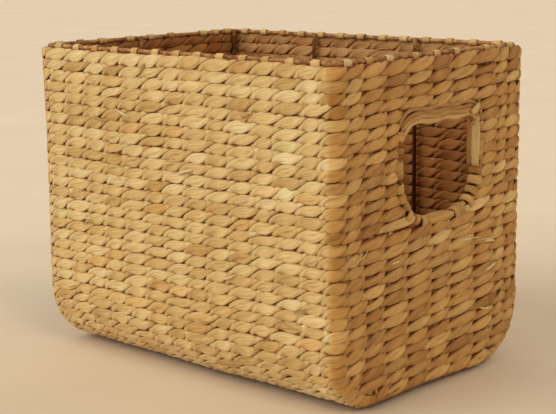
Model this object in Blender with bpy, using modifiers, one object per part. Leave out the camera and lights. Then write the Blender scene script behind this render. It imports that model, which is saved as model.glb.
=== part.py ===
"""Woven laundry basket: straw twined round flat stakes, hung on a bent wire frame.

+Z is up, +X runs along the length, and the origin is at the middle of the underside.
Every wall is a sandwich: an outer skin of weft, the stakes, and an inner skin of weft.
"Depth" below is always measured inwards from the outer face of the weave.
"""
import math

import bmesh
import bpy
from mathutils import Vector

# Driving dimensions, in metres.
LENGTH = 0.378              # weave, outside, along X
WIDTH = 0.272               # weave, outside, along Y
HEIGHT = 0.300              # to the top of the stake loops
TROUGH_RADIUS = 0.057       # the long walls curve into the base
EDGE_RADIUS = 0.013         # round every edge of the two end walls

SKIN = 0.0037               # one layer of weft
STAKE_THICKNESS = 0.002
STAKE_WIDTH = 0.008
WIRE_RADIUS = 0.002
GAP = 0.0003                # left between pieces that touch

LONG_STAKE_COUNT = 13
LONG_STAKE_PITCH = 0.027
HOLE_STAKES_Y = (-0.0245, 0.0045, 0.0335)     # cut short by the hand hole
NEAR_STAKES_Y = (-0.114, -0.087, -0.060)
FAR_STAKES_Y = (0.079, 0.0975, 0.116)
LOOP_TIP = 0.006            # how far a stake's end comes down inside the rim wire
TAB_HEIGHT = 0.006          # loop left showing above the outer skin

HOLE_WIDTH = 0.109
HOLE_HEIGHT = 0.081
HOLE_TOP_RADIUS = 0.016     # the hole is rounder below than above
HOLE_BOTTOM_RADIUS = 0.036
HOLE_CENTRE_Y = 0.0055
HOLE_CENTRE_Z = 0.198
BINDING_LINING = 0.002      # straw between the hand and the ring
BINDING_CHEEK = 0.0015      # straw over each face of the wall
BINDING_REACH = 0.0095      # how far the cheeks spread from the hole

FLOOR_HALF_LENGTH = 0.150   # flat panel woven into the base
FLOOR_HALF_WIDTH = 0.072
HANGER_Y = -0.0125          # rod between the rim and a hand ring
MID_HOOPS_X = (0.070, -0.0605)

ARC_STEPS = 6
HOLE_ARC_STEPS = 5
RIM_CORNER_STEPS = 4
EDGE_SEGMENTS = 3
SHARP_ANGLE = math.radians(40)

# Worked-out depths and heights.
STAKE_DEPTH = SKIN + GAP + STAKE_THICKNESS / 2
INNER_SKIN_DEPTH = STAKE_DEPTH + STAKE_THICKNESS / 2 + GAP
WALL = INNER_SKIN_DEPTH + SKIN
RIM_DEPTH = STAKE_DEPTH + STAKE_THICKNESS / 2 + GAP + WIRE_RADIUS
LOOP_RADIUS = RIM_DEPTH - STAKE_DEPTH
HOOP_DEPTH = EDGE_RADIUS
RIM_Z = HEIGHT - STAKE_THICKNESS - GAP - WIRE_RADIUS
INNER_TOP = RIM_Z - WIRE_RADIUS - GAP
OUTER_TOP = HEIGHT - TAB_HEIGHT
RING_OFFSET = BINDING_LINING + GAP + WIRE_RADIUS
SKIN_HOLE_OFFSET = RING_OFFSET + WIRE_RADIUS + GAP
TOOL_MARGIN = 0.010         # how far a cutter runs past what it cuts


def clear_scene():
    """Removes every object, so that the script can be run again."""
    for old in list(bpy.data.objects):
        bpy.data.objects.remove(old, do_unlink=True)


def new_collection(name):
    """Adds a collection to the scene."""
    made = bpy.data.collections.new(name)
    bpy.context.scene.collection.children.link(made)
    return made


def plain_material(name, colour, roughness, metallic):
    """A Principled material in one colour."""
    made = bpy.data.materials.new(name)
    made.use_nodes = True
    shader = made.node_tree.nodes["Principled BSDF"]
    shader.inputs["Base Color"].default_value = (*colour, 1.0)
    shader.inputs["Roughness"].default_value = roughness
    shader.inputs["Metallic"].default_value = metallic
    made.diffuse_color = (*colour, 1.0)
    return made


def straw_material():
    """Dried leaf strip."""
    return plain_material("straw", (0.62, 0.42, 0.20), 0.75, 0.0)


def stake_material():
    """The stiffer, greyer stems that the strip is twined round."""
    return plain_material("stake_straw", (0.55, 0.38, 0.19), 0.8, 0.0)


def wire_material():
    """Brown paint on iron wire."""
    return plain_material("brown_wire", (0.10, 0.045, 0.022), 0.5, 0.0)


def arc(centre, radius, start, end, steps):
    """Points on an arc of a circle in a plane, from one angle to another, in degrees."""
    points = []
    for step in range(steps + 1):
        angle = math.radians(start + (end - start) * step / steps)
        points.append((centre[0] + radius * math.cos(angle), centre[1] + radius * math.sin(angle)))
    return points


def add_mesh_object(name, bm, collection, material):
    """Turns a bmesh into a named object, smooth over its round edges and sharp at its corners."""
    bmesh.ops.recalc_face_normals(bm, faces=bm.faces[:])
    mesh = bpy.data.meshes.new(name)
    bm.to_mesh(mesh)
    bm.free()
    mesh.shade_smooth()
    mesh.set_sharp_from_angle(angle=SHARP_ANGLE)
    made = bpy.data.objects.new(name, mesh)
    collection.objects.link(made)
    if material:
        mesh.materials.append(material)
    return made


def extrude_along_x(bm, faces, distance):
    """Pulls flat faces into a solid."""
    pulled = bmesh.ops.extrude_face_region(bm, geom=faces)
    moved = [item for item in pulled["geom"] if isinstance(item, bmesh.types.BMVert)]
    bmesh.ops.translate(bm, verts=moved, vec=(distance, 0.0, 0.0))


def trough_block(name, depth, top, collection, material=None):
    """A solid with the basket's outside shape, shrunk by a depth and cut off at a height."""
    half_length = LENGTH / 2 - depth
    half_width = WIDTH / 2 - depth
    radius = TROUGH_RADIUS - depth
    near_centre = (-(half_width - radius), depth + radius)
    far_centre = (half_width - radius, depth + radius)
    outline = [(-half_width, top)]
    outline += arc(near_centre, radius, 180, 270, ARC_STEPS)
    outline += arc(far_centre, radius, 270, 360, ARC_STEPS)
    outline.append((half_width, top))

    bm = bmesh.new()
    corners = [bm.verts.new((-half_length, y, z)) for y, z in outline]
    extrude_along_x(bm, [bm.faces.new(corners)], 2 * half_length)
    end_edges = []
    for edge in bm.edges:
        first, second = edge.verts
        in_end = abs(first.co.x - second.co.x) < GAP
        along_top = first.co.z > top - GAP and second.co.z > top - GAP
        if in_end and not along_top:
            end_edges.append(edge)
    bmesh.ops.bevel(
        bm,
        geom=end_edges,
        offset=EDGE_RADIUS - depth,
        segments=EDGE_SEGMENTS,
        profile=0.5,
        affect="EDGES",
    )
    return add_mesh_object(name, bm, collection, material)


def hole_outline(offset):
    """The hand hole's rounded outline as (y, z) points, spread outwards by an offset."""
    points = []
    corners = (
        (1, 1, HOLE_TOP_RADIUS, 0),
        (-1, 1, HOLE_TOP_RADIUS, 90),
        (-1, -1, HOLE_BOTTOM_RADIUS, 180),
        (1, -1, HOLE_BOTTOM_RADIUS, 270),
    )
    for side, rise, radius, start in corners:
        y = HOLE_CENTRE_Y + side * (HOLE_WIDTH / 2 - radius)
        z = HOLE_CENTRE_Z + rise * (HOLE_HEIGHT / 2 - radius)
        points += arc((y, z), radius + offset, start, start + 90, HOLE_ARC_STEPS)
    return points


def hole_cutter(name, collection):
    """A bar through both end walls, with the outline of the openings in the skins."""
    reach = LENGTH / 2 + TOOL_MARGIN
    bm = bmesh.new()
    corners = [bm.verts.new((-reach, y, z)) for y, z in hole_outline(SKIN_HOLE_OFFSET)]
    extrude_along_x(bm, [bm.faces.new(corners)], 2 * reach)
    return add_mesh_object(name, bm, collection, None)


def hole_ring(name, inner_offset, outer_offset, start_x, end_x, collection, material=None):
    """A flat ring round a hand hole, between two offsets of its outline."""
    bm = bmesh.new()
    edges = []
    for offset in (inner_offset, outer_offset):
        loop = [bm.verts.new((start_x, y, z)) for y, z in hole_outline(offset)]
        for index, corner in enumerate(loop):
            edges.append(bm.edges.new((loop[index - 1], corner)))
    bridged = bmesh.ops.bridge_loops(bm, edges=edges)
    extrude_along_x(bm, bridged["faces"], end_x - start_x)
    return add_mesh_object(name, bm, collection, material)


def box(name, low, high, collection, material=None):
    """A box between two corners."""
    bm = bmesh.new()
    bmesh.ops.create_cube(bm, size=1.0)
    low = Vector(low)
    high = Vector(high)
    bmesh.ops.scale(bm, vec=high - low, verts=bm.verts[:])
    bmesh.ops.translate(bm, vec=(low + high) / 2, verts=bm.verts[:])
    return add_mesh_object(name, bm, collection, material)


def cut(target, tool):
    """Takes a cutter away from a solid."""
    tool.hide_render = True
    tool.display_type = "WIRE"
    modifier = target.modifiers.new(tool.name, "BOOLEAN")
    modifier.operation = "DIFFERENCE"
    modifier.solver = "EXACT"
    modifier.object = tool


def wire(name, points, closed, collection, material):
    """A round wire along a path."""
    path = bpy.data.curves.new(name, "CURVE")
    path.dimensions = "3D"
    path.bevel_depth = WIRE_RADIUS
    path.bevel_resolution = 2
    path.use_fill_caps = True
    spline = path.splines.new("POLY")
    spline.points.add(len(points) - 1)
    for slot, point in zip(spline.points, points):
        slot.co = (*point, 1.0)
    spline.use_cyclic_u = closed
    path.materials.append(material)
    made = bpy.data.objects.new(name, path)
    collection.objects.link(made)
    return made


def strap(name, path, across, collection, material):
    """A flat strip along a path, thickened evenly to both sides."""
    bm = bmesh.new()
    half = across * (STAKE_WIDTH / 2)
    previous = None
    for point in path:
        pair = (bm.verts.new(Vector(point) - half), bm.verts.new(Vector(point) + half))
        if previous:
            bm.faces.new((previous[0], previous[1], pair[1], pair[0]))
        previous = pair
    made = add_mesh_object(name, bm, collection, material)
    modifier = made.modifiers.new("thickness", "SOLIDIFY")
    modifier.thickness = STAKE_THICKNESS
    modifier.offset = 0.0
    modifier.use_even_offset = True
    return made


def loop_over_rim():
    """(depth, z) points of a stake's end: up outside the rim wire, over it and down inside."""
    points = arc((RIM_DEPTH, RIM_Z), LOOP_RADIUS, 180, 0, ARC_STEPS)
    points.append((RIM_DEPTH + LOOP_RADIUS, RIM_Z - LOOP_TIP))
    return points


def add_wall_weave(parts, cutters, straw):
    """The outer and inner skins of weft, each with the hand holes and a window in its base."""
    layers = (
        ("weave_walls_outer", 0.0, OUTER_TOP),
        ("weave_walls_inner", INNER_SKIN_DEPTH, INNER_TOP),
    )
    holes = hole_cutter("cut_hand_holes", cutters)
    for name, depth, top in layers:
        skin = trough_block(name, depth, top, parts, straw)
        hollow = trough_block(f"cut_{name}", depth + SKIN, HEIGHT + TOOL_MARGIN, cutters)
        window = box(
            f"cut_{name}_window",
            (-FLOOR_HALF_LENGTH, -FLOOR_HALF_WIDTH, depth - TOOL_MARGIN / 2),
            (FLOOR_HALF_LENGTH, FLOOR_HALF_WIDTH, depth + SKIN + TOOL_MARGIN / 2),
            cutters,
        )
        for tool in (hollow, holes, window):
            cut(skin, tool)


def add_floor_weave(parts, straw):
    """The flat panel of each skin, between the curved edges of the base."""
    for name, depth in (("weave_floor_outer", 0.0), ("weave_floor_inner", INNER_SKIN_DEPTH)):
        box(
            name,
            (-(FLOOR_HALF_LENGTH - GAP), -(FLOOR_HALF_WIDTH - GAP), depth),
            (FLOOR_HALF_LENGTH - GAP, FLOOR_HALF_WIDTH - GAP, depth + SKIN),
            parts,
            straw,
        )


def add_long_stakes(parts, stem):
    """Stakes that run down the front wall, under the base and up the back wall."""
    half_width = WIDTH / 2
    radius = TROUGH_RADIUS - STAKE_DEPTH
    centre = (half_width - TROUGH_RADIUS, TROUGH_RADIUS)
    half_path = arc(centre, radius, 270, 360, ARC_STEPS)
    half_path += [(half_width - depth, z) for depth, z in loop_over_rim()]
    outline = [(-y, z) for y, z in reversed(half_path)] + half_path
    first_x = -LONG_STAKE_PITCH * (LONG_STAKE_COUNT - 1) / 2
    for index in range(LONG_STAKE_COUNT):
        x = first_x + index * LONG_STAKE_PITCH
        path = [(x, y, z) for y, z in outline]
        strap(f"stake_long_{index + 1:02d}", path, Vector((1.0, 0.0, 0.0)), parts, stem)


def stake_foot(y):
    """Height where an end stake stops, clear of the rounded lower edge."""
    reach = max(0.0, abs(y) + STAKE_WIDTH / 2 - (WIDTH / 2 - TROUGH_RADIUS))
    return TROUGH_RADIUS - math.sqrt((TROUGH_RADIUS - EDGE_RADIUS) ** 2 - reach ** 2)


def add_end_stakes(end, side, parts, stem):
    """Upright stakes of one end wall. Those that meet the hand hole are in two pieces."""
    above_hole = HOLE_CENTRE_Z + HOLE_HEIGHT / 2 + SKIN_HOLE_OFFSET
    below_hole = HOLE_CENTRE_Z - HOLE_HEIGHT / 2 - SKIN_HOLE_OFFSET
    wall_x = side * (LENGTH / 2 - STAKE_DEPTH)
    across = Vector((0.0, 1.0, 0.0))

    def upright(name, y, low):
        path = [(wall_x, y, low)]
        path += [(side * (LENGTH / 2 - depth), y, z) for depth, z in loop_over_rim()]
        strap(name, path, across, parts, stem)

    for index, y in enumerate(NEAR_STAKES_Y + FAR_STAKES_Y):
        upright(f"stake_end_{end}_{index + 1:02d}", y, stake_foot(y))
    for index, y in enumerate(HOLE_STAKES_Y):
        upright(f"stake_hole_{end}_upper_{index + 1}", y, above_hole)
        lower = [(wall_x, y, stake_foot(y)), (wall_x, y, below_hole)]
        strap(f"stake_hole_{end}_lower_{index + 1}", lower, across, parts, stem)


def add_rim_wire(parts, paint):
    """The wire that all the stakes loop over."""
    half_length = LENGTH / 2 - EDGE_RADIUS
    half_width = WIDTH / 2 - EDGE_RADIUS
    radius = EDGE_RADIUS - RIM_DEPTH
    outline = []
    corners = (
        (half_length, half_width, 0),
        (-half_length, half_width, 90),
        (-half_length, -half_width, 180),
        (half_length, -half_width, 270),
    )
    for x, y, start in corners:
        outline += arc((x, y), radius, start, start + 90, RIM_CORNER_STEPS)
    wire("frame_rim_wire", [(x, y, RIM_Z) for x, y in outline], True, parts, paint)


def add_hoops(parts, paint):
    """Four U-shaped wires inside the basket: one in each pair of corners and two between."""
    half_width = WIDTH / 2 - HOOP_DEPTH
    top = RIM_Z + WIRE_RADIUS
    radius = TROUGH_RADIUS - HOOP_DEPTH
    near = (-(half_width - radius), TROUGH_RADIUS)
    far = (half_width - radius, TROUGH_RADIUS)
    outline = [(-half_width, top)]
    outline += arc(near, radius, 180, 270, ARC_STEPS)
    outline += arc(far, radius, 270, 360, ARC_STEPS)
    outline.append((half_width, top))
    end_x = LENGTH / 2 - HOOP_DEPTH
    hoops = (
        ("frame_hoop_end_a", end_x),
        ("frame_hoop_mid_a", MID_HOOPS_X[0]),
        ("frame_hoop_mid_b", MID_HOOPS_X[1]),
        ("frame_hoop_end_b", -end_x),
    )
    for name, x in hoops:
        wire(name, [(x, y, z) for y, z in outline], False, parts, paint)


def add_hand_hole(end, side, parts, cutters, paint, straw):
    """The ring, its straw binding and the rod that hangs it from the rim, at one end."""
    wall_middle = side * (LENGTH / 2 - WALL / 2)
    ring = [(wall_middle, y, z) for y, z in hole_outline(RING_OFFSET)]
    wire(f"frame_hand_ring_{end}", ring, True, parts, paint)

    half_groove = WALL / 2 + GAP
    half_thickness = half_groove + BINDING_CHEEK
    binding = hole_ring(
        f"hand_binding_{end}",
        0.0,
        BINDING_REACH,
        wall_middle - half_thickness,
        wall_middle + half_thickness,
        parts,
        straw,
    )
    groove = hole_ring(
        f"cut_hand_binding_{end}",
        BINDING_LINING,
        BINDING_REACH + TOOL_MARGIN,
        wall_middle - half_groove,
        wall_middle + half_groove,
        cutters,
    )
    cut(binding, groove)

    hanger_x = side * (LENGTH / 2 - HOOP_DEPTH)
    hanger_foot = HOLE_CENTRE_Z + HOLE_HEIGHT / 2 + BINDING_REACH + GAP
    hanger = [(hanger_x, HANGER_Y, hanger_foot), (hanger_x, HANGER_Y, RIM_Z + WIRE_RADIUS)]
    wire(f"frame_hanger_{end}", hanger, False, parts, paint)


def build():
    """Makes the whole basket."""
    clear_scene()
    parts = new_collection("laundry_basket_woven")
    cutters = new_collection("cutters")
    straw = straw_material()
    stem = stake_material()
    paint = wire_material()
    add_rim_wire(parts, paint)
    add_hoops(parts, paint)
    add_wall_weave(parts, cutters, straw)
    add_floor_weave(parts, straw)
    add_long_stakes(parts, stem)
    for end, side in (("a", 1), ("b", -1)):
        add_end_stakes(end, side, parts, stem)
        add_hand_hole(end, side, parts, cutters, paint, straw)


build()
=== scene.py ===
"""The looks of a laundry basket: straw strands twined in pairs round flat stakes, on a wire frame.

Each row of the weave is a real pair of strands. At a stake one strand passes outside and the
other inside, and between two stakes they cross, so one mesh makes both faces of the wall.
"""
import math

import bpy
import numpy as np
from mathutils import Matrix, Vector


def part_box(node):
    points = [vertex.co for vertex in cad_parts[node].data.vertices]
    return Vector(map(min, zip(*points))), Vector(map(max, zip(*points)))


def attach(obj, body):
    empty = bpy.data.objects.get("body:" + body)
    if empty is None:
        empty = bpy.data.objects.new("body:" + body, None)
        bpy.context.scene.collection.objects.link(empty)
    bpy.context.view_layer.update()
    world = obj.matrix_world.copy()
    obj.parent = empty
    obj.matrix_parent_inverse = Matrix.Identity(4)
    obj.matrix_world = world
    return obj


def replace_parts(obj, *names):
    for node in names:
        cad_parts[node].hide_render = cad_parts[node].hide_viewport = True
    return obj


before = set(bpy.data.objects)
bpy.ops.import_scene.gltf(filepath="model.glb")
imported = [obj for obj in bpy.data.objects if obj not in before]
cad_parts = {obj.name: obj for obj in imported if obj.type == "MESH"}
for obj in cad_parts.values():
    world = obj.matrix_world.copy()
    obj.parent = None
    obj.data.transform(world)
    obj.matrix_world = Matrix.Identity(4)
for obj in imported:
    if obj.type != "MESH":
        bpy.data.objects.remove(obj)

SEED = 20
random = np.random.default_rng(SEED)

# The wall's layers, from the frame, in metres. "Out" is measured from the middle of the wall.
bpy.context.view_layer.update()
WALLS_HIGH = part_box("weave_walls_outer")[1]
HALF_LENGTH = WALLS_HIGH.x
HALF_WIDTH = WALLS_HIGH.y
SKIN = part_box("weave_floor_outer")[1].z
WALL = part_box("weave_floor_inner")[1].z
MIDDLE = WALL / 2
HALF_STAKE = SKIN / 4
STAKE_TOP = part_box("stake_long_01")[1].z
RIM_LOW, RIM_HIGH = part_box("frame_rim_wire")
WIRE_RADIUS = (RIM_HIGH.z - RIM_LOW.z) / 2
RIM_Z = (RIM_HIGH.z + RIM_LOW.z) / 2
RIM_OUT = MIDDLE - (HALF_LENGTH - RIM_HIGH.x + WIRE_RADIUS)
RING_LOW, RING_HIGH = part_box("frame_hand_ring_a")
BINDING_LOW, BINDING_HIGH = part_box("hand_binding_a")

# Shape of the basket that boxes don't show.
TROUGH_RADIUS = 0.057
EDGE_RADIUS = 0.013
HOLE_TOP_RADIUS = 0.016
HOLE_BOTTOM_RADIUS = 0.036
BINDING_REACH = 0.0095

# The rows of the weave. A pair of values is for the long walls and for the end walls.
ROW_PITCH = 0.0102
ROWS_PER_PIECE = 6
ROW_FULLNESS = (1.0, 0.93)
ROW_OVERLAP = 0.0014        # how far a row that ends on a wall's edge runs on past it
EDGE_ROW_TUCK = 0.002
TOP_ROW_Z = WALLS_HIGH.z - 0.0053
TOP_ROW_GROWTH = (1.05, 1.10)
TOP_ROW_OUT = 0.0004
TOP_ROW_OVER_WIRE = 0.0008
PLAIN = (1.0, 1.0)
LONG_WALL = 0.0
END_WALL = 1.0
LOWEST = 0.0002
HOLE_MARGIN = 0.004         # from the end of a row at a hand hole to its first stake, at least
END_MARGIN = 0.003          # the same for the short rows of the end walls
WIDEST_BAY = 0.022          # a wider one at the end of a short row gets one more stake
EXTRA_STAKE_INSET = 0.009

# A strand's section where it passes a stake and where it crosses the other strand. The pair turns
# about the row's middle, half a turn for each stitch, slowly at a stake and fast at a crossing.
STITCH_OUT = (0.0024, 0.0031)
STITCH_HALF_HEIGHT = 0.0055
STITCH_HALF_THICKNESS = (0.0012, 0.0017)
CROSSING_OUT = 0.0027
CROSSING_HALF_HEIGHT = 0.0041
CROSSING_HALF_THICKNESS = 0.0030
PRESSED_FROM = (0.0034, 0.0040)     # what lies further out than this is pressed flat
PRESSED_SHARE = (0.30, 0.45)        # to this share of what it was
STEADY_TURN = (0.10, 0.30)
TURN_POWER = (2.0, 2.6)
SWELL_POWER = 0.85
RINGS_PER_STITCH = 10
EVEN_RINGS = 0.3            # share of the rings' spacing that is even
SECTION_POINTS = 12
SECTION_POWERS = (0.45, 0.38)       # up and out: the lower, the squarer
RIDGE_HEIGHT = 0.07
RIDGES = 7.0
RIDGE_TWIST = 1.5
ANY_PHASE = 6.3             # about a full turn

# How one stitch differs from the next: middle, standard deviation, and limits if there are any.
STEADY_VARIES = (1.0, 0.35, (0.0, 2.0))
HEIGHT_VARIES = (1.0, 0.06, (0.85, 1.15))
THICKNESS_VARIES = (1.0, 0.10, (0.75, 1.3))
OUT_VARIES = (0.0, 0.00035)
LEAN_VARIES = (0.0, 0.07)
LIFT_SPREAD = 0.0004
SLIP_SPREAD = 0.0021
NARROW_CHANCE = 0.03
NARROW_HEIGHT = 0.72

# Slow wobbles of the rows, each with its scale and seed, and the waves they are made of: radians
# a metre along the row and up the wall, how much the seed shifts the wave, and its size.
SWAY = (0.0008, 1.0)
RIPPLE = (0.0003, 5.0)
RIPPLE_FINENESS = 9.0
BULGE = (0.0006, 9.0)
SLIP = (0.0024, 4.0)
SLIP_FINENESS = (2.0, 1.5)
WAVES = ((17.0, 31.0, 1.0, 1.0), (-29.0, 19.0, 2.1, 1.0), (53.0, 23.0, 3.7, 0.7))

# Tone and hue of the strips, as middle and spread, and the painted shade that turns them browner and
# redder on the end walls, which face away from the key light.
STRIP_TONE = (0.58, 0.11)
STRIP_HUE = (0.40, 0.14)
STRIP_STITCHES = (2, 9)
STITCH_TONE_SPREAD = 0.075
STITCH_HUE_SPREAD = 0.06
FIBRE_SHIFT = 0.15
END_WALL_SHADE = 0.24
END_WALL_SHADE_RED = 0.52
END_WALL_SHADE_FADE = 0.6

# Painted shade, from 0 to 1: deep in the weave, inside the basket, at a strip's edges between rows, and
# a painted contact shadow at the foot.
DARK_DEPTH = 0.0008
LIT_DEPTH = (0.0025, 0.0036)
# Painted shade on the inner face of the walls, browner further below the rim.
INSIDE_SHADE = (0.74, 0.95)         # at the rim, and from INSIDE_FADE below it
INSIDE_FADE = 0.10
# Painted shade along each strip's upper and lower edges, where it meets the next row.
STRIP_EDGE_SHADE = (0.15, 1.0)
EDGE_FROM = 0.9
EDGE_FADE = 0.6
# A painted contact shadow at the foot, darkest at the floor and fading out over about this height.
CONTACT_SHADOW_HEIGHT = 0.0080
CONTACT_SHADOW_STRENGTH = 1.2

# A strip inside each row, dark with painted shade, so that no daylight shows where the strands cross.
CORE_HALF_HEIGHT = 0.0053
EDGE_CORE_HALF_HEIGHT = 0.0072
CORE_HALF_THICKNESS = 0.0003
CORE_LEAN = 0.0004
CORE_STEP = 0.005
CORE_SHADE_TONE = 0.3
CORE_SHADE_HUE = 0.8

# Flat strips of one tone.
RIBBON_POINTS = 8
RIBBON_POWER = 0.7

# The stakes, and their ends that loop over the rim wire.
STAKE_HALF_WIDTH = 0.0040
STAKE_WAVES = ((0.10, 0.31), (0.07, 0.83))      # share of the width, and turn for each step
STAKE_SWAY = (0.0006, 0.17)
STAKE_STEP = 0.004
STAKE_BEND_STEPS = 20
STAKE_TONE = (0.46, 0.15)
STAKE_HUE = (0.3, 0.9)
# Painted shade on the stakes, which lie within the weave.
STAKE_SHADE = 0.2
LOOP_HALF_THICKNESS = 0.0005
LOOP_CLEARANCE = 0.0002
LOOP_DROP = 0.008           # from the rim wire's middle down to where the loop starts
LOOP_ANGLES = (math.radians(200), math.radians(-60))
LOOP_STEPS = 11
LOOP_WIDENING = 0.12
THINNING_DROP = 0.012
THINNING_LENGTH = 0.008


def add_object(name, data):
    """A new object in the scene."""
    made = bpy.data.objects.new(name, data)
    bpy.context.scene.collection.objects.link(made)
    return made


class StrawMesh:
    """Collects tubes of straw, and makes one mesh of them with the coordinates their material needs.

    strand holds metres along the strip, the share of the way round it, and a number of its own.
    look holds its tone, its hue and its painted shade, from 0 to 1: how deep in a crevice or in shade
    it lies.
    """

    def __init__(self):
        self.points = []
        self.faces = []
        self.caps = []
        self.strand = []
        self.look = []
        self.count = 0

    def add(self, rings, closed, along, seed, tone, hue, painted_shade):
        """Adds a tube from its rings, an array of ring by point by coordinate.

        The painted shade is given for each ring and point, the other values for each ring.
        """
        ring_count, around = rings.shape[:2]
        first = self.count
        index = first + np.arange(ring_count * around).reshape(ring_count, around)
        following = np.roll(index, -1, axis=0) if closed else index[1:]
        current = index if closed else index[:-1]
        quads = np.stack(
            [current, np.roll(current, -1, 1), np.roll(following, -1, 1), following], axis=-1
        )
        self.faces.append(quads.reshape(-1, 4))
        if not closed:
            self.caps.append(index[0][::-1])
            self.caps.append(index[-1])

        def spread(*values):
            full = [np.broadcast_to(value, (ring_count, around)) for value in values]
            return np.stack(full, axis=-1).reshape(-1, 3)

        self.points.append(rings.reshape(-1, 3))
        self.strand.append(spread(along[:, None], np.arange(around) / around, seed[:, None]))
        self.look.append(spread(tone[:, None], hue[:, None], painted_shade))
        self.count += ring_count * around

    def build(self, name, material):
        """Makes the object, which rides on the basket's one body."""
        quads = np.concatenate(self.faces)
        corners = np.concatenate([quads.reshape(-1)] + self.caps)
        sizes = np.concatenate([np.full(len(quads), 4), [len(cap) for cap in self.caps]]).astype(int)
        mesh = bpy.data.meshes.new(name)
        mesh.vertices.add(self.count)
        mesh.vertices.foreach_set("co", np.concatenate(self.points).ravel())
        mesh.loops.add(len(corners))
        mesh.loops.foreach_set("vertex_index", corners)
        mesh.polygons.add(len(sizes))
        starts = np.concatenate([[0], np.cumsum(sizes)[:-1]])
        mesh.polygons.foreach_set("loop_start", starts)
        mesh.update(calc_edges=True)
        mesh.shade_smooth()
        for attribute, values in (("strand", self.strand), ("look", self.look)):
            layer = mesh.attributes.new(attribute, "FLOAT_VECTOR", "POINT")
            layer.data.foreach_set("vector", np.concatenate(values).ravel())
        mesh.materials.append(material)
        made = add_object(name, mesh)
        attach(made, "root")
        return made


class Track:
    """A row's route in a plane, of straight runs and left-hand bends, with the outside on its right."""

    def __init__(self, origin, along, inward, start, heading, moves, closed=False, fan_radius=None):
        self.origin = np.array(origin, float)
        self.along = np.array(along, float)
        self.inward = np.array(inward, float)
        self.up = np.cross(self.along, self.inward)
        self.closed = closed
        self.fan_radius = fan_radius
        starts = []
        x, y = start
        travelled = 0.0
        for length, radius in moves:
            starts.append((travelled, x, y, heading, radius))
            travelled += length
            if radius:
                turn = length / radius
                x += radius * (math.sin(heading + turn) - math.sin(heading))
                y -= radius * (math.cos(heading + turn) - math.cos(heading))
                heading += turn
            else:
                x += length * math.cos(heading)
                y += length * math.sin(heading)
        self.starts = np.array(starts)
        self.length = travelled

    def place(self, position, out, up):
        """Points at a distance along the route, out from it, and up beside it."""
        if self.closed:
            position = np.mod(position, self.length)
        which = np.clip(np.searchsorted(self.starts[:, 0], position, "right") - 1, 0, None)
        begun, x, y, heading, radius = np.moveaxis(self.starts[which], -1, 0)
        gone = position - begun
        bent = radius > 0
        turn = np.where(bent, gone / np.where(bent, radius, 1.0), 0.0)
        facing = heading + turn
        x = x + np.where(bent, radius * (np.sin(facing) - np.sin(heading)), gone * np.cos(heading))
        y = y + np.where(bent, radius * (np.cos(heading) - np.cos(facing)), gone * np.sin(heading))
        x = x + out * np.sin(facing)
        y = y - out * np.cos(facing)
        if self.fan_radius:
            up = up * (1.0 + out / self.fan_radius)
        flat = x[..., None] * self.along + y[..., None] * self.inward
        return self.origin + flat + up[..., None] * self.up


# Half-sizes and bend of a row that goes round the basket, at the middle of the wall.
HALF_A = HALF_LENGTH - MIDDLE
HALF_B = HALF_WIDTH - MIDDLE
BEND = EDGE_RADIUS - MIDDLE
QUARTER = math.pi / 2 * BEND
RUN_A = 2 * (HALF_A - BEND)
RUN_B = 2 * (HALF_B - BEND)
TROUGH_BEND = TROUGH_RADIUS - MIDDLE
FLAT_HALF_WIDTH = HALF_WIDTH - TROUGH_RADIUS


def ring_track(z):
    """The route of a wall row, starting at the left end of the front wall."""
    moves = [(RUN_A, 0), (QUARTER, BEND), (RUN_B, 0), (QUARTER, BEND)] * 2
    return Track((0, 0, z), (1, 0, 0), (0, 1, 0), (-RUN_A / 2, -HALF_B), 0.0, moves, closed=True)


def ring_position(side, coordinate):
    """Distance along a wall row of a place on one side, given its X or Y."""
    return {
        "front": RUN_A / 2 + coordinate,
        "end_a": RUN_A + QUARTER + RUN_B / 2 + coordinate,
        "back": RUN_A + RUN_B + 2 * QUARTER + RUN_A / 2 - coordinate,
        "end_b": 2 * RUN_A + RUN_B + 3 * QUARTER + RUN_B / 2 - coordinate,
    }[side]


def middle_of(node, axis):
    """Middle of a node's box along one axis."""
    low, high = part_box(node)
    return (low[axis] + high[axis]) / 2


def names_like(start):
    """The frame's nodes whose names start in one way, in order."""
    return sorted(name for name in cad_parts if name.startswith(start))


LONG_STAKES_X = [middle_of(name, 0) for name in names_like("stake_long_")]
END_STAKES_Y = {
    end: sorted(
        middle_of(name, 1)
        for name in names_like(f"stake_end_{end}_") + names_like(f"stake_hole_{end}_lower")
    )
    for end in "ab"
}


def wall_stakes():
    """(position along a wall row, LONG_WALL or END_WALL) of the stakes and the corners."""
    stakes = [(ring_position("front", x), LONG_WALL) for x in LONG_STAKES_X]
    stakes += [(ring_position("back", x), LONG_WALL) for x in LONG_STAKES_X]
    for end in "ab":
        stakes += [(ring_position(f"end_{end}", y), END_WALL) for y in END_STAKES_Y[end]]
    corner = -QUARTER / 2
    for run in (RUN_A, RUN_B, RUN_A, RUN_B):
        corner += run + QUARTER
        stakes.append((corner, LONG_WALL))
    return sorted(stakes)


def blend(pair, share):
    """A value on the way from the first of a pair to the second."""
    return pair[0] + (pair[1] - pair[0]) * share


def between(ends, share):
    """Values along each stitch, from those at the ends of the stitches."""
    return ends[:-1, None] + (ends[1:, None] - ends[:-1, None]) * share


def varied(count, middle, spread, limits=(-np.inf, np.inf)):
    """A random number for each stitch, within limits."""
    return np.clip(random.normal(middle, spread, (count, 1)), *limits)


def wander(position, height, scale, seed):
    """A slow, smooth wobble over a surface, within about one scale either way."""
    waves = 0.0
    for along, up, shift, size in WAVES:
        waves = waves + size * np.sin(along * position + up * height + shift * seed)
    return scale * waves / 2.0


def signed_power(value, power):
    """A power of a value's size, with the value's own sign."""
    return np.sign(value) * np.abs(value) ** power


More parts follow.
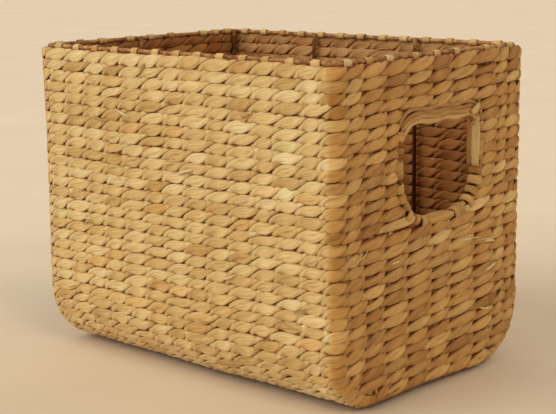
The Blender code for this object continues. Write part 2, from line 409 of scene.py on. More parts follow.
def section():
    """The strip's outline as (up, out) shares: a flattened oval, from the top round the outside."""
    angle = 2 * math.pi * np.arange(SECTION_POINTS) / SECTION_POINTS
    up_power, out_power = SECTION_POWERS
    return signed_power(np.cos(angle), up_power), signed_power(np.sin(angle), out_power)


def stitch_shares():
    """The rings' places along a stitch, closest at the crossings, and how full the strand is."""
    even = np.arange(RINGS_PER_STITCH) / RINGS_PER_STITCH
    share = EVEN_RINGS * even + (1 - EVEN_RINGS) * (1 - np.cos(math.pi * even)) / 2
    return share, np.cos(math.pi * (share - 0.5)) ** SWELL_POWER


def tones(count):
    """Tone and hue of each stitch of a strand: strips a few stitches long, each a little different."""
    tone = np.empty(count)
    hue = np.empty(count)
    left = 0
    for index in range(count):
        if left == 0:
            strip_tone = random.normal(*STRIP_TONE)
            strip_hue = random.normal(*STRIP_HUE)
            left = random.integers(*STRIP_STITCHES)
        tone[index] = strip_tone + random.normal(0, STITCH_TONE_SPREAD)
        hue[index] = strip_hue + random.normal(0, STITCH_HUE_SPREAD)
        left -= 1
    return np.clip(tone, 0, 1), np.clip(hue, 0, 1)


def strand_colours(rings, stitches):
    """Tone and hue at each ring, with painted shade that turns them browner and redder on the end
    walls.
    """
    tone, hue = tones(stitches)
    # Painted shade: rings on the end walls, which face away from the key light, turn browner and
    # warmer.
    over_edge = np.abs(rings[..., 0]).mean(axis=1) - (HALF_A - BEND)
    facing_end = np.clip(over_edge / (BEND * END_WALL_SHADE_FADE), 0, 1)
    tone = np.clip(np.repeat(tone, RINGS_PER_STITCH) - END_WALL_SHADE * facing_end, 0, 1)
    hue = np.clip(np.repeat(hue, RINGS_PER_STITCH) + END_WALL_SHADE_RED * facing_end, 0, 1)
    return tone, hue


def depth_shade(out, z, wall):
    """Painted shade from 0 to 1: deep between the strands, and inside the basket, more of it low down.
    """
    lit_depth = blend(LIT_DEPTH, wall)
    share = (lit_depth - np.abs(out)) / (lit_depth - DARK_DEPTH)
    inside_shade_by_height = blend(INSIDE_SHADE, np.clip((WALLS_HIGH.z - z) / INSIDE_FADE, 0, 1))
    inside_shade = inside_shade_by_height * np.clip(-2 * out / SKIN, 0, 1)
    return np.clip(np.maximum(share, inside_shade), 0, 1)


def strand_shade(out, z, wall, swell):
    """Painted shade at each point of a strand, along its own edges, and a painted contact shadow at the
    foot of the basket.
    """
    section_up, section_out = section()
    # Painted shade along the strip's upper and lower edges.
    edge_shade = np.where(np.abs(section_up) > EDGE_FROM, 1.0 - EDGE_FADE * np.abs(section_out), 0.0)
    edge_shade = edge_shade * (blend(STRIP_EDGE_SHADE, wall) * swell)[..., None]
    painted_shade = np.maximum(depth_shade(out, z, wall[..., None]), edge_shade)
    # Painted contact shadow at the foot of the basket.
    return np.maximum(painted_shade, np.clip(CONTACT_SHADOW_STRENGTH - z / CONTACT_SHADOW_HEIGHT, 0, 1))


def strand_turn(share, wall, first_side):
    """Angle of a strand about the row's middle: half a turn for each stitch."""
    stitches = len(wall)
    steady = blend(STEADY_TURN, wall) * varied(stitches, *STEADY_VARIES)
    way = 2 * share - 1
    quick = signed_power(way, blend(TURN_POWER, wall))
    turn = math.pi / 2 * (steady * way + (1 - steady) * quick)
    return turn + math.pi * ((np.arange(stitches) + first_side) % 2)[:, None]


def strand_section(share, swell, wall, first_side, growth):
    """How far up and out the points of a strand's rings lie, before the row's own wobbles."""
    stitches = len(wall)
    turn = strand_turn(share, wall, first_side)
    narrow = np.where(random.random((stitches, 1)) < NARROW_CHANCE, NARROW_HEIGHT, 1.0)
    full = STITCH_HALF_HEIGHT * varied(stitches, *HEIGHT_VARIES) * narrow
    half_height = blend((CROSSING_HALF_HEIGHT, full), swell)
    half_height = half_height * blend(growth, wall) * blend(ROW_FULLNESS, wall)
    thick = blend(STITCH_HALF_THICKNESS, wall) * varied(stitches, *THICKNESS_VARIES)
    half_thickness = blend((CROSSING_HALF_THICKNESS, thick), swell)
    offset = blend((CROSSING_OUT, blend(STITCH_OUT, wall)), swell)
    offset = offset + varied(stitches, *OUT_VARIES) * swell

    section_up, section_out = section()
    phase = random.random((stitches, 1, 1)) * ANY_PHASE
    phase = RIDGES * section_up + phase + RIDGE_TWIST * share[None, :, None]
    ridge = 1.0 + RIDGE_HEIGHT * np.cos(phase)
    across = half_height[..., None] * section_up
    away = offset[..., None] + half_thickness[..., None] * section_out * ridge
    angle = (turn + varied(stitches, *LEAN_VARIES) * swell)[..., None]
    up = away * np.sin(angle) + across * np.cos(angle)
    out = away * np.cos(angle) - across * np.sin(angle)
    over = np.maximum(np.abs(out) - blend(PRESSED_FROM, wall)[..., None], 0.0)
    out = out - np.sign(out) * over * (1.0 - blend(PRESSED_SHARE, wall)[..., None])
    return up, out


def add_strand(straw, track, closed, crossings, walls, height, first_side, growth):
    """One strand of a twined pair, from its crossings with the other strand."""
    stitches = len(crossings) - 1
    share, swell = stitch_shares()
    position = between(crossings, share)
    wall = between(walls, share)
    up, out = strand_section(share, swell, wall, first_side, growth)

    lift = random.normal(0.0, LIFT_SPREAD, stitches + 1)
    if closed:
        lift[-1] = lift[0]
    drift = wander(position, height, *SWAY) + wander(position, RIPPLE_FINENESS * height, *RIPPLE)
    drift = drift + between(lift, share)
    drift = drift + STITCH_HALF_HEIGHT * (blend(growth, wall) - growth[0])
    shift = wander(position, height, *BULGE)
    if growth is TOP_ROW_GROWTH:
        shift = shift + TOP_ROW_OUT
    ring_out = out + shift[..., None]
    ring_s = np.repeat(position[..., None], SECTION_POINTS, axis=-1)
    rings = track.place(ring_s, ring_out, up + drift[..., None]).reshape(-1, SECTION_POINTS, 3)
    rings[..., 2] = np.maximum(rings[..., 2], LOWEST)
    if growth is TOP_ROW_GROWTH:
        limit = np.where(ring_out > 0.0, RIM_Z + TOP_ROW_OVER_WIRE, RIM_Z - WIRE_RADIUS)
        rings[..., 2] = np.minimum(rings[..., 2], limit.reshape(-1, SECTION_POINTS))

    painted_shade = strand_shade(out, rings[..., 2].reshape(out.shape), wall, swell)
    tone, hue = strand_colours(rings, stitches)
    length = np.diff(crossings)
    along = (np.cumsum(length) - length)[:, None] + length[:, None] * share
    seed = random.random(stitches) * FIBRE_SHIFT + random.random()
    along = along.ravel() + random.random()
    seed = np.repeat(seed, RINGS_PER_STITCH)
    straw.add(rings, closed, along, seed, tone, hue, painted_shade.reshape(-1, SECTION_POINTS))


def add_core(straw, track, closed, start, end, half_height):
    """The strip inside a row, dark with painted shade, leaning a little so that it overlaps the next
    row's.
    """
    count = max(3, round((end - start) / CORE_STEP))
    position = np.linspace(start, end, count, endpoint=not closed)
    upper = np.array([1.0, 1.0, -1.0, -1.0])
    outer = np.array([-1.0, 1.0, 1.0, -1.0])
    rings = track.place(
        np.broadcast_to(position[:, None], (count, 4)),
        np.broadcast_to(CORE_LEAN * upper + CORE_HALF_THICKNESS * outer, (count, 4)),
        np.broadcast_to(half_height * upper, (count, 4)),
    )
    rings[..., 2] = np.clip(rings[..., 2], LOWEST, RIM_Z - WIRE_RADIUS)
    ones = np.ones(count)
    straw.add(rings, closed, position, 0.0 * ones, CORE_SHADE_TONE * ones, CORE_SHADE_HUE * ones, 1.0)


def twine(straw, track, stakes, height, start=None, end=None, growth=PLAIN, core=CORE_HALF_HEIGHT):
    """Both strands of a row, closed if it has no start and end.

    The strands cross midway between stakes, and at an open row's ends.
    """
    places = np.array([place for place, _ in stakes])
    wall = np.array([side for _, side in stakes])
    crossings = (places[1:] + places[:-1]) / 2
    walls_at = (wall[1:] + wall[:-1]) / 2
    closed = start is None
    if closed:
        seam = (places[-1] + places[0] + track.length) / 2
        seam_wall = (wall[0] + wall[-1]) / 2
        crossings = np.concatenate([[seam - track.length], crossings, [seam]])
        walls_at = np.concatenate([[seam_wall], walls_at, [seam_wall]])
    else:
        crossings = np.concatenate([[start], crossings, [end]])
        walls_at = np.concatenate([[wall[0]], walls_at, [wall[-1]]])
    slip = random.normal(0, SLIP_SPREAD, len(crossings))
    slip += wander(SLIP_FINENESS[0] * crossings, SLIP_FINENESS[1] * height, *SLIP)
    if closed:
        slip[-1] = slip[0]
    else:
        slip[[0, -1]] = 0.0
    for first_side in (0, 1):
        add_strand(straw, track, closed, crossings + slip, walls_at, height, first_side, growth)
    add_core(straw, track, closed, crossings[0], crossings[-1], core)


# The hand holes: the edge of each, and the ring wire that lies a little way into the wall.
HOLE_Y = (BINDING_LOW.y + BINDING_HIGH.y) / 2
HOLE_Z = (BINDING_LOW.z + BINDING_HIGH.z) / 2
HOLE_HALF_WIDTH = (BINDING_HIGH.y - BINDING_LOW.y) / 2 - BINDING_REACH
HOLE_HALF_HEIGHT = (BINDING_HIGH.z - BINDING_LOW.z) / 2 - BINDING_REACH
RING_REACH = (RING_HIGH.y - RING_LOW.y) / 2 - WIRE_RADIUS - HOLE_HALF_WIDTH

# The straw round the hand holes. A strip's size is its half width and half thickness.
BAND_HEIGHT = 0.0145        # smooth strips wrapped over the top of each hole
BAND_STRIPS = 4
BAND_STRIP = (0.0024, 0.0017)
BAND_SPREAD = 0.003
SILL_STRIP = (0.0040, 0.0020)
SILL_REACH = 0.0040
FACE_OUT = 0.0036
LINING_STRIP = (0.0045, 0.0015)
LINING_REACH = 0.0012
EDGING_STEP = 0.003
EDGING_RIPPLE = (0.0007, 170.0)
EDGING_TAPER = (0.25, 0.35)
EDGING_TONE = (0.34, 0.13)
EDGING_HUE = 0.75
# Painted shade on the strips round the hole.
EDGING_SHADE = 0.25
# Dark strips in the middle of the wall, so that no daylight shows between the others.
BAND_SHADE = (0.0052, 0.0004)
EDGE_SHADE = (0.0048, 0.0004)
EDGE_SHADE_REACH = 0.0056

# A wrap over the hole's edge, from one face of the wall to the other: how far each point lies
# from the edge, its share of the way out to the face, and its share of the full width.
WRAP_AWAY = (0.0095, 0.0075, 0.0055, 0.0032, 0.0012, 0.0002, 0.0)
WRAP_OUT = (0.35, 0.80, 1.0, 1.0, 0.86, 0.52, 0.0)
WRAP_WIDTH = (0.50, 0.82, 1.0, 1.0, 1.0, 0.97, 0.95)
WRAP_SIZE = (0.0040, 0.0011)
WRAP_PITCH = 0.0100
WRAP_BEND_SHARE = 0.4       # how much of each upper bend is wrapped
WRAP_PLACE_SPREAD = 0.0012
WRAP_WIDTH_SPREAD = 0.18
WRAP_REACH_SPREAD = 0.2
WRAP_PROUD = (0.0004, 0.0003)
WRAP_SWING = 0.0014
# The wraps' tone is kept low as painted shade, and their ends get painted shade where they tuck into
# the wall.
WRAP_SHADED_TONE = (0.17, 0.10)
WRAP_HUE = (0.55, 1.0)
WRAP_TUCK_SHADE = 0.7

# The strips up one jamb (out, half width, tone, hue and painted shade), and the knot they end in.
JAMB_STRIPS = ((0.0022, 0.0048, 0.62, 0.55, 0.0), (-0.0046, 0.0028, 0.20, 0.85, 0.5))
JAMB_FOOT_DROP = 0.006
JAMB_HEAD_DROP = 0.002
JAMB_INSET = 0.0012
JAMB_HALF_THICKNESS = 0.0010
JAMB_RIPPLE = (0.0004, 180.0)
JAMB_TAPER = (0.45, 0.3)
JAMB_STEPS = 18
KNOT_PLACE = (0.0056, -0.007, 0.006)            # out, along Y and up from the hole's corner
KNOT_REACH = (0.0012, 0.0055, 0.0035)           # how far it bulges, and half its run
KNOT_SIZE = (0.0034, 0.0014)
KNOT_BEND = 1.5
KNOT_TAPER = (1.2, 0.5)
KNOT_LOOK = (0.58, 0.50, 0.1)
KNOT_STEPS = 9


def ring_half_width(z):
    """Half the width that a wall row leaves free for a hand hole, or None above and below it."""
    if z > HOLE_Z:
        radius = HOLE_TOP_RADIUS
        z = max(HOLE_Z, z - BAND_HEIGHT)
    else:
        radius = HOLE_BOTTOM_RADIUS
    over = max(0.0, abs(z - HOLE_Z) - HOLE_HALF_HEIGHT + radius)
    ring_radius = radius + RING_REACH
    if over > ring_radius - WIRE_RADIUS:
        return None
    return HOLE_HALF_WIDTH - radius + math.sqrt(ring_radius ** 2 - over ** 2)


def stakes_within(stakes, start, end, length):
    """The stakes that an open stretch of a wall row passes, with their places along it."""
    found = []
    for place, wall in stakes:
        for turn in (0.0, length):
            if start + HOLE_MARGIN < place + turn < end - HOLE_MARGIN:
                found.append((place + turn, wall))
    return sorted(found)


def add_wall_row(straw, z, stakes, growth):
    """A row round all four walls, in two stretches where the hand holes are."""
    track = ring_track(z)
    gap = ring_half_width(z)
    if gap is None:
        twine(straw, track, stakes, z, growth=growth)
        return
    near = HOLE_Y - gap
    far = HOLE_Y + gap
    stretches = (
        (ring_position("end_a", far), ring_position("end_b", far)),
        (ring_position("end_b", near), ring_position("end_a", near) + track.length),
    )
    for start, end in stretches:
        passed = stakes_within(stakes, start, end, track.length)
        twine(straw, track, passed, z, start, end)


def trough_frame(distance):
    """Point, outward direction and fan radius at a distance along the trough's mid-wall profile."""
    arc = math.pi / 2 * TROUGH_BEND
    flat = 2 * FLAT_HALF_WIDTH
    if distance < arc:
        turn = distance / TROUGH_BEND
        centre = -FLAT_HALF_WIDTH
    elif distance < arc + flat:
        return (-FLAT_HALF_WIDTH + distance - arc, MIDDLE), (0.0, -1.0), None
    else:
        turn = math.pi / 2 + (distance - arc - flat) / TROUGH_BEND
        centre = FLAT_HALF_WIDTH
    normal = (-math.cos(turn), -math.sin(turn))
    point = (centre + TROUGH_BEND * normal[0], TROUGH_RADIUS + TROUGH_BEND * normal[1])
    return point, normal, TROUGH_BEND


def add_trough_row(straw, distance):
    """A row along the curved bottom. On the curves it wraps over both end edges."""
    (y, z), (normal_y, normal_z), fan_radius = trough_frame(distance)
    inward = (0.0, -normal_y, -normal_z)
    if fan_radius:
        turned = ROW_OVERLAP + QUARTER
        moves = [(ROW_OVERLAP, 0), (QUARTER, BEND), (RUN_A, 0), (QUARTER, BEND), (ROW_OVERLAP, 0)]
        start = (-HALF_A, BEND + ROW_OVERLAP)
        track = Track((0, y, z), (1, 0, 0), inward, start, -math.pi / 2, moves, False, fan_radius)
        stakes = [(x + turned + RUN_A / 2, LONG_WALL) for x in LONG_STAKES_X]
        stakes.insert(0, (turned - QUARTER / 2, LONG_WALL))
        stakes.append((turned + RUN_A + QUARTER / 2, LONG_WALL))
    else:
        track = Track((0, y, z), (1, 0, 0), inward, (-RUN_A / 2, 0.0), 0.0, [(RUN_A, 0)])
        stakes = [(x + RUN_A / 2, LONG_WALL) for x in LONG_STAKES_X]
    twine(straw, track, stakes, distance, 0.0, track.length)


def end_row_stakes(end, half):
    """Stakes of a short end-wall row, with one more where the outermost is far from the row's end."""
    found = [y for y in END_STAKES_Y[end] if abs(y) < half - END_MARGIN]
    if found[0] + half > WIDEST_BAY:
        found.insert(0, -half + EXTRA_STAKE_INSET)
    if half - found[-1] > WIDEST_BAY:
        found.append(half - EXTRA_STAKE_INSET)
    return found


def add_end_row(straw, end, z=None):
    """A row low on one end wall, or, with no height, the one on the wall's lower edge."""
    side = 1.0 if end == "a" else -1.0
    if z is None:
        slope = math.sqrt(0.5)
        half = FLAT_HALF_WIDTH
        reach = (BEND - EDGE_ROW_TUCK) * slope
        origin = (side * (HALF_LENGTH - EDGE_RADIUS + reach), 0, EDGE_RADIUS - reach)
        inward = (-side * slope, 0, slope)
        fan_radius = BEND
        height = 0.0
        core = EDGE_CORE_HALF_HEIGHT
    else:
        drop = TROUGH_RADIUS - z
        reach = math.sqrt((TROUGH_RADIUS - EDGE_RADIUS) ** 2 - drop ** 2)
        half = FLAT_HALF_WIDTH + reach + ROW_OVERLAP
        origin = (side * HALF_A, 0, z)
        inward = (-side, 0, 0)
        fan_radius = None
        height = z
        core = CORE_HALF_HEIGHT
    moves = [(2 * half, 0)]
    track = Track(origin, (0, side, 0), inward, (-half, 0.0), 0.0, moves, False, fan_radius)
    stakes = sorted((side * y + half, END_WALL) for y in end_row_stakes(end, half))
    twine(straw, track, stakes, height, 0.0, track.length, core=core)


def wall_levels():
    """Heights of the rows that go round the walls, from the top down."""
    levels = [TOP_ROW_Z]
    z = TOP_ROW_Z - ROW_PITCH * (1 + TOP_ROW_GROWTH[0]) / 2
    while z > TROUGH_RADIUS:
        levels.append(z)
        z -= ROW_PITCH
    return levels


def build_wall_rows(levels, material):
    """The rows round the walls, in pieces of a few rows each."""
    stakes = wall_stakes()
    pieces = []
    for first in range(0, len(levels), ROWS_PER_PIECE):
        straw = StrawMesh()
        for level in levels[first:first + ROWS_PER_PIECE]:
            growth = TOP_ROW_GROWTH if level == TOP_ROW_Z else PLAIN
            add_wall_row(straw, level, stakes, growth)
        number = first // ROWS_PER_PIECE + 1
        pieces.append(straw.build(f"weft_wall_rows_{number}", material))
    return pieces


def build_trough_rows(reach, material):
    """The rows along the curved bottom, between wall rows that lie a reach above its two bends."""
    profile = math.pi * TROUGH_BEND + 2 * FLAT_HALF_WIDTH + 2 * reach
    count = round(profile / ROW_PITCH)
    distances = [-reach + profile * row / count for row in range(1, count)]
    half = len(distances) // 2
    for name, group in (("front", distances[:half]), ("back", distances[half:])):
        straw = StrawMesh()
        for distance in group:
            add_trough_row(straw, distance)
        straw.build(f"weft_trough_{name}", material)


def build_end_rows(top, material):
    """The short rows low on each end wall, from the top one down to the wall's lower edge."""
    for end in "ab":
        straw = StrawMesh()
        level = top
        while level > EDGE_RADIUS:
            add_end_row(straw, end, level)
            level -= ROW_PITCH
        add_end_row(straw, end)
        straw.build(f"weft_end_{end}", material)


def build_weft(material):
    """All the twined rows, in place of the frame's four layers of weave."""
    levels = wall_levels()
    pieces = build_wall_rows(levels, material)
    build_trough_rows(levels[-1] - TROUGH_RADIUS, material)
    build_end_rows(levels[-1] - ROW_PITCH, material)
    weave = ("weave_walls_outer", "weave_walls_inner", "weave_floor_outer", "weave_floor_inner")
    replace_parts(pieces[0], *weave)


def ribbon_rings(route, width_way, half_width, half_thickness):
    """Rings of a flat strip along a route, with its width along a given direction."""
    way = np.gradient(route, axis=0)
    way /= np.linalg.norm(way, axis=1, keepdims=True)
    width_way = np.broadcast_to(np.asarray(width_way, float), route.shape)
    out = np.cross(way, width_way)
    out /= np.linalg.norm(out, axis=1, keepdims=True)
    across = np.cross(out, way)
    angle = 2 * math.pi * np.arange(RIBBON_POINTS) / RIBBON_POINTS
    up_share = signed_power(np.cos(angle), RIBBON_POWER)
    out_share = signed_power(np.sin(angle), RIBBON_POWER)
    half_width = np.broadcast_to(half_width, len(route))
    half_thickness = np.broadcast_to(half_thickness, len(route))
    rings = route[:, None, :] + (half_width[:, None] * up_share)[..., None] * across[:, None, :]
    return rings + (half_thickness[:, None] * out_share)[..., None] * out[:, None, :]


def add_ribbon(straw, route, width_way, half_width, half_thickness, tone, hue, painted_shade=0.0):
    """Adds a flat strip of one tone to a mesh."""
    rings = ribbon_rings(route, width_way, half_width, half_thickness)
    steps = np.linalg.norm(np.diff(route, axis=0), axis=1)
    along = np.concatenate([[0.0], np.cumsum(steps)]) + random.random()
    ones = np.ones(len(route))
    painted_shade = np.broadcast_to(painted_shade, len(route))[:, None]
    straw.add(rings, False, along, random.random() * ones, tone * ones, hue * ones, painted_shade)


def tapered(count, end, power):
    """A strip's size along it, smaller towards both ends."""
    return np.sin(np.linspace(end, math.pi - end, count)) ** power


def loop_route():
    """(out, z) points of a stake's end: up beside the rim wire, tight over it, and down inside."""
    radius = WIRE_RADIUS + LOOP_HALF_THICKNESS + LOOP_CLEARANCE
    angle = np.linspace(*LOOP_ANGLES, LOOP_STEPS)
    return RIM_OUT - radius * np.cos(angle), RIM_Z + radius * np.sin(angle)


def smooth_steps(low, high):
    """Evenly spaced numbers from low to just before high."""
    count = max(2, round(abs(high - low) / STAKE_STEP))
    return low + (high - low) * np.arange(count) / count


def add_stake(straw, route, width_way):
    """A flat stake that varies a little in width and sways a little, thinner over the rim."""
    place = np.arange(len(route))
    phase = random.random() * ANY_PHASE
    (slow, slow_turn), (quick, quick_turn) = STAKE_WAVES
    waves = slow * np.sin(slow_turn * place + phase) + quick * np.sin(quick_turn * place)
    over_rim = np.clip((route[:, 2] - RIM_Z + THINNING_DROP) / THINNING_LENGTH, 0, 1)
    half_width = STAKE_HALF_WIDTH * (1.0 + waves) * (1 + LOOP_WIDENING * over_rim)
    half_thickness = blend((HALF_STAKE, LOOP_HALF_THICKNESS), over_rim)
    sway = STAKE_SWAY[0] * np.sin(STAKE_SWAY[1] * place + phase)
    route = route + sway[:, None] * np.asarray(width_way, float)
    tone = random.normal(*STAKE_TONE)
    hue = random.uniform(*STAKE_HUE)
    add_ribbon(straw, route, width_way, half_width, half_thickness, tone, hue, STAKE_SHADE)


def long_stake_route(x):
    """Route of a stake from the front rim, under the base, to the back rim."""
    loop_out, loop_z = loop_route()
    base_y = smooth_steps(0.0, FLAT_HALF_WIDTH)
    side_z = smooth_steps(TROUGH_RADIUS, RIM_Z - LOOP_DROP)
    bend = np.linspace(0, math.pi / 2, STAKE_BEND_STEPS)[:-1]
    half_y = np.concatenate([
        base_y,
        FLAT_HALF_WIDTH + TROUGH_BEND * np.sin(bend),
        np.full(len(side_z), HALF_B),
        HALF_B + loop_out,
    ])
    half_z = np.concatenate([
        np.full(len(base_y), MIDDLE),
        TROUGH_RADIUS - TROUGH_BEND * np.cos(bend),
        side_z,
        loop_z,
    ])
    y = np.concatenate([-half_y[::-1], half_y[1:]])
    z = np.concatenate([half_z[::-1], half_z[1:]])
    return np.stack([np.full(len(y), x), y, z], axis=1)


def end_stake_route(name, side):
    """Route of a stake in an end wall, looped over the rim unless it ends below the hand hole."""
    low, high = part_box(name)
    if "_lower_" in name:
        z = smooth_steps(low.z, high.z)
        out = np.zeros(len(z))
    else:
        loop_out, loop_z = loop_route()
        upright = smooth_steps(low.z, RIM_Z - LOOP_DROP)
        z = np.concatenate([upright, loop_z])
        out = np.concatenate([np.zeros(len(upright)), loop_out])
    return np.stack([side * (HALF_A + out), np.full(len(z), middle_of(name, 1)), z], axis=1)


def build_stake(name, route, width_way, material):
    """A strip in place of one of the frame's stakes."""
    straw = StrawMesh()
    add_stake(straw, route, width_way)
    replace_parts(straw.build(f"straw_{name}", material), name)


def build_stakes(material):
    """All the stakes, long ones first."""
    for name in names_like("stake_long_"):
        build_stake(name, long_stake_route(middle_of(name, 0)), (1, 0, 0), material)
    for name in names_like("stake_end_") + names_like("stake_hole_"):
        side = 1.0 if middle_of(name, 0) > 0 else -1.0
        build_stake(name, end_stake_route(name, side), (0, side, 0), material)


# The hole's corners, anticlockwise from the upper right, and the straight run that leads to each.
HOLE_CORNERS = (
    (1, 1, HOLE_TOP_RADIUS),
    (-1, 1, HOLE_TOP_RADIUS),
    (-1, -1, HOLE_BOTTOM_RADIUS),
    (1, -1, HOLE_BOTTOM_RADIUS),
)
JAMB = 2 * HOLE_HALF_HEIGHT - HOLE_TOP_RADIUS - HOLE_BOTTOM_RADIUS
LINTEL = 2 * (HOLE_HALF_WIDTH - HOLE_TOP_RADIUS)
SILL = 2 * (HOLE_HALF_WIDTH - HOLE_BOTTOM_RADIUS)
TOP_BEND = math.pi / 2 * HOLE_TOP_RADIUS
BOTTOM_BEND = math.pi / 2 * HOLE_BOTTOM_RADIUS
HOLE_EDGE = 2 * (JAMB + TOP_BEND + BOTTOM_BEND) + LINTEL + SILL
# Parts of the hole's edge, as distances round it: over the hole, under it, and the wrapped sides.
LINTEL_SPAN = (
    JAMB + WRAP_BEND_SHARE * TOP_BEND,
    JAMB + (2 - WRAP_BEND_SHARE) * TOP_BEND + LINTEL,
)
SILL_SPAN = (HOLE_EDGE - BOTTOM_BEND - SILL, HOLE_EDGE - BOTTOM_BEND)
WRAPPED_SPANS = ((-BOTTOM_BEND, LINTEL_SPAN[0]), (LINTEL_SPAN[1], SILL_SPAN[0]))


def hole_point(distance, reach=0.0):
    """(y, z) and outward direction at a distance round the hand hole's edge.

    The distance starts at the foot of the straight part of the jamb further along Y, and goes
    up it first. Reach moves the point away from the hole, into the wall.
    """
    left = distance % HOLE_EDGE
    for turn, (side, rise, radius) in enumerate(HOLE_CORNERS):
        straight = (JAMB, LINTEL, JAMB, SILL)[turn]
        bend = math.pi / 2 * radius
        facing = turn * math.pi / 2 + min(max(0.0, left - straight), bend) / radius
        back = max(0.0, straight - left)
        normal_y = math.cos(facing)
        normal_z = math.sin(facing)
        y = side * (HOLE_HALF_WIDTH - radius) + (radius + reach) * normal_y + back * normal_z
        z = rise * (HOLE_HALF_HEIGHT - radius) + (radius + reach) * normal_z - back * normal_y
        if left < straight + bend:
            break
        left -= straight + bend
    return (HOLE_Y + y, HOLE_Z + z), (normal_y, normal_z)


def both_ways(shares, sign):
    """A list carried on past its last value in reverse, with the sign changed or kept."""
    shares = np.array(shares)
    return np.concatenate([shares, sign * shares[-2::-1]])


def add_wrap(straw, side, distance, half_width):
    """One turn of straw over the edge of a hand hole, tucked into both faces of the wall."""
    (y, z), (normal_y, normal_z) = hole_point(distance)
    away = both_ways(WRAP_AWAY, 1) * random.normal(1.0, WRAP_REACH_SPREAD)
    out = both_ways(WRAP_OUT, -1) * (MIDDLE + random.normal(*WRAP_PROUD))
    swing = random.normal(0.0, WRAP_SWING, 2)
    half = len(WRAP_AWAY) - 1
    sideways = [np.linspace(swing[0], 0, half), [0.0], np.linspace(0, swing[1], half)]
    tangent = np.array([0.0, -normal_z, normal_y])
    normal = np.array([0.0, normal_y, normal_z])
    route = np.array([side * HALF_A, y, z]) + away[:, None] * normal
    route = route + np.concatenate(sideways)[:, None] * tangent
    route[:, 0] += side * out
    taper = both_ways(WRAP_WIDTH, 1)
    tone = np.clip(random.normal(*WRAP_SHADED_TONE), 0, 1)
    hue = random.uniform(*WRAP_HUE)
    half_thickness = WRAP_SIZE[1] * taper
    # Painted shade towards the ends, where the wrap tucks into the wall.
    painted_shade = WRAP_TUCK_SHADE * (1.0 - taper)
    add_ribbon(straw, route, side * tangent, half_width * taper, half_thickness, tone, hue, painted_shade)


def add_wraps(straw, side):
    """The wraps up both sides of a hand hole and over its lower bends."""
    for start, finish in WRAPPED_SPANS:
        count = round((finish - start) / WRAP_PITCH)
        for index in range(count):
            distance = start + (finish - start) * (index + 0.5) / count
            distance += random.normal(0, WRAP_PLACE_SPREAD)
            add_wrap(straw, side, distance, WRAP_SIZE[0] * random.normal(1.0, WRAP_WIDTH_SPREAD))


def add_edging(straw, side, span, reach, out, size, facing=0.0, painted_shade=EDGING_SHADE):
    """A strip along part of the hole's edge. Facing is how far it is turned to face the hole."""
    start, end = span
    count = max(8, round(abs(end - start) / EDGING_STEP))
    wave = random.random() * ANY_PHASE
    route = np.empty((count, 3))
    across = np.empty((count, 3))
    for index, distance in enumerate(np.linspace(start, end, count)):
        ripple = EDGING_RIPPLE[0] * math.sin(EDGING_RIPPLE[1] * distance + wave)
        (y, z), (normal_y, normal_z) = hole_point(distance, reach + ripple)
        route[index] = (side * (HALF_A + out - ripple), y, z)
        across[index] = (side * facing, (1 - facing) * normal_y, (1 - facing) * normal_z)
    half_width, half_thickness = np.outer(size, tapered(count, *EDGING_TAPER))
    tone = np.clip(random.normal(*EDGING_TONE), 0, 1)
    add_ribbon(straw, route, across, half_width, half_thickness, tone, EDGING_HUE, painted_shade)


def add_face_strips(straw, side, out):
    """The strips on one face of the wall: one below the hole, and a band of them over it."""
    add_edging(straw, side, SILL_SPAN, SILL_REACH, out, SILL_STRIP)
    for step in range(BAND_STRIPS):
        reach = BAND_HEIGHT * (step + 0.5) / BAND_STRIPS
        start = LINTEL_SPAN[0] + random.normal(0, BAND_SPREAD)
        finish = LINTEL_SPAN[1] + random.normal(0, BAND_SPREAD)
        add_edging(straw, side, (start, finish), reach, out, BAND_STRIP)


def add_jamb_strips(straw, side):
    """Smooth strips up the lining of the jamb that is further along Y."""
    top = HOLE_Z + HOLE_HALF_HEIGHT - JAMB_HEAD_DROP
    height = np.linspace(HOLE_Z - JAMB_FOOT_DROP, top, JAMB_STEPS)
    y = HOLE_Y + HOLE_HALF_WIDTH - JAMB_INSET + JAMB_RIPPLE[0] * np.sin(JAMB_RIPPLE[1] * height)
    taper = tapered(JAMB_STEPS, *JAMB_TAPER)
    for out, half_width, *look in JAMB_STRIPS:
        route = np.stack([np.full(JAMB_STEPS, side * (HALF_A + out)), y, height], axis=1)
        sizes = (half_width * taper, JAMB_HALF_THICKNESS * taper)
        add_ribbon(straw, route, (side, 0, 0), *sizes, *look)


def add_knot(straw, side):
    """The end of the jamb's strips, folded over the hole's corner."""
    along = np.linspace(-1, 1, KNOT_STEPS)
    out, beside, above = KNOT_PLACE
    bulge, reach_y, reach_z = KNOT_REACH
    x = side * (HALF_A + out + bulge * np.cos(KNOT_BEND * along))
    y = HOLE_Y + HOLE_HALF_WIDTH + beside + reach_y * along
    z = HOLE_Z + HOLE_HALF_HEIGHT + above + reach_z * along
    route = np.stack([x, y, z], axis=1)
    bend, power = KNOT_TAPER
    half_width, half_thickness = np.outer(KNOT_SIZE, np.cos(bend * along) ** power)
    add_ribbon(straw, route, (0, 0, 1), half_width, half_thickness, *KNOT_LOOK)


